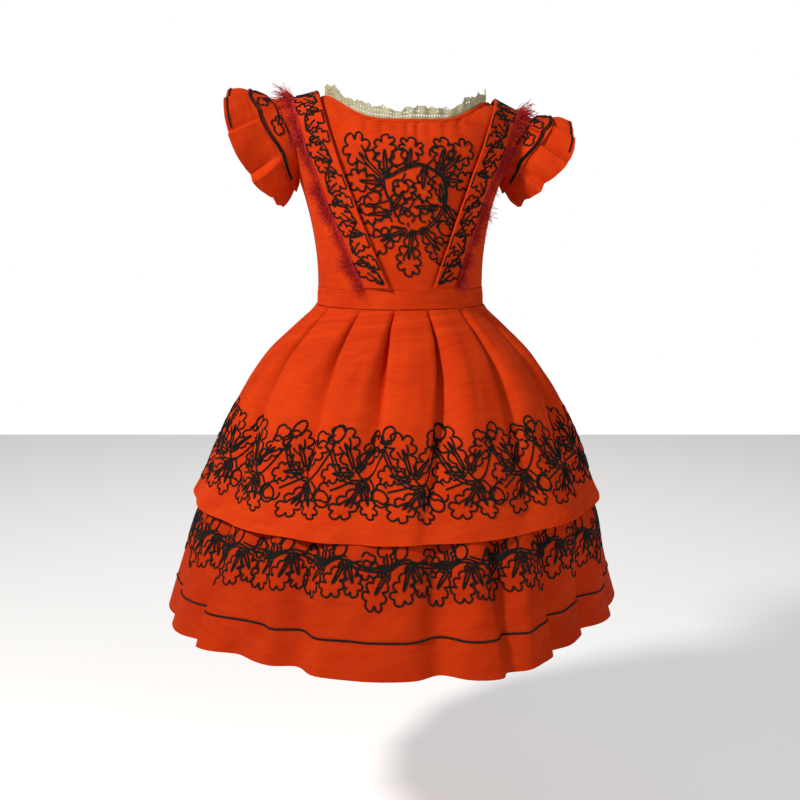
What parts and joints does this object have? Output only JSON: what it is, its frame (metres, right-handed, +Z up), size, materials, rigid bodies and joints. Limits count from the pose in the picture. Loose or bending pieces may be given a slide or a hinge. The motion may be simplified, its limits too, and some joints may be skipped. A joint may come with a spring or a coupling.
{
  "type": "small child's two-tier dress with short sleeves, cord braid and fringe, held open as worn",
  "caption": "Open hollow child's dress: fitted bodice with V bands and silk fringe, short frilled sleeves, pleated upper skirt tier over a longer tier.",
  "frame": {"origin": "between the two shoulders, at the height where the shoulders carry the dress", "axes": "+Z up along the wearer's height, -Y towards the front, +X to the right seen from the front"},
  "size_m": [0.5318, 0.4887, 0.5877],
  "materials": {
    "wool_cloth": "matt plain-weave orange-red wool",
    "silk_fringe": "crimson silk fringe with a soft gloss",
    "lace": "aged cream cotton lace",
    "braid": "black twisted soutache braid"
  },
  "bodies": {
    "root": {"centre_front": "wool_cloth", "side_front_left": "wool_cloth", "side_front_right": "wool_cloth", "back_left": "wool_cloth", "back_right": "wool_cloth", "bretelle_left": "wool_cloth", "bretelle_right": "wool_cloth", "fringe_left": "silk_fringe", "fringe_right": "silk_fringe", "sleeve_cap_left": "wool_cloth", "sleeve_cap_right": "wool_cloth", "sleeve_frill_left": "wool_cloth", "sleeve_frill_right": "wool_cloth", "sleeve_lace_left": "lace", "sleeve_lace_right": "lace", "neck_binding": "wool_cloth", "neck_lace": "lace", "waistband": "wool_cloth", "upper_skirt": "wool_cloth", "lower_skirt": "wool_cloth", "hem_braid": "braid"}
  },
  "joints": []
}
